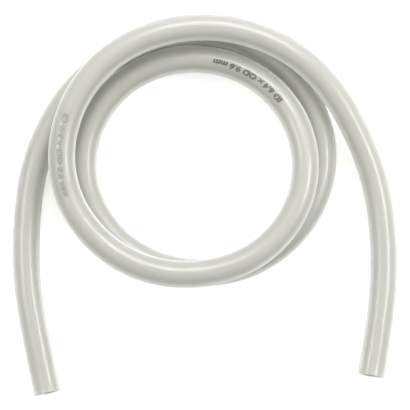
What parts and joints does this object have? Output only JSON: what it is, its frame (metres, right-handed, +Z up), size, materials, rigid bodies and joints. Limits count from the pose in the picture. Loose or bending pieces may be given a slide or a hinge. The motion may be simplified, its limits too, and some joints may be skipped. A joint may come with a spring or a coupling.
{
  "type": "silicone tubing coil",
  "caption": "Length of translucent silicone tubing resting in a loose coil of nearly three turns, with both cut ends free to push onto barbed fittings.",
  "frame": {"origin": "on the floor, under the middle of the coiled tube's bounding box", "axes": "+Z up from the floor through the coil, -Y towards the two cut ends, +X towards the end whose leg runs onto the top of the coil"},
  "size_m": [0.1366, 0.135, 0.0197],
  "materials": {
    "silicone": "satin"
  },
  "bodies": {
    "root": {"silicone_tube": "silicone"}
  },
  "joints": []
}
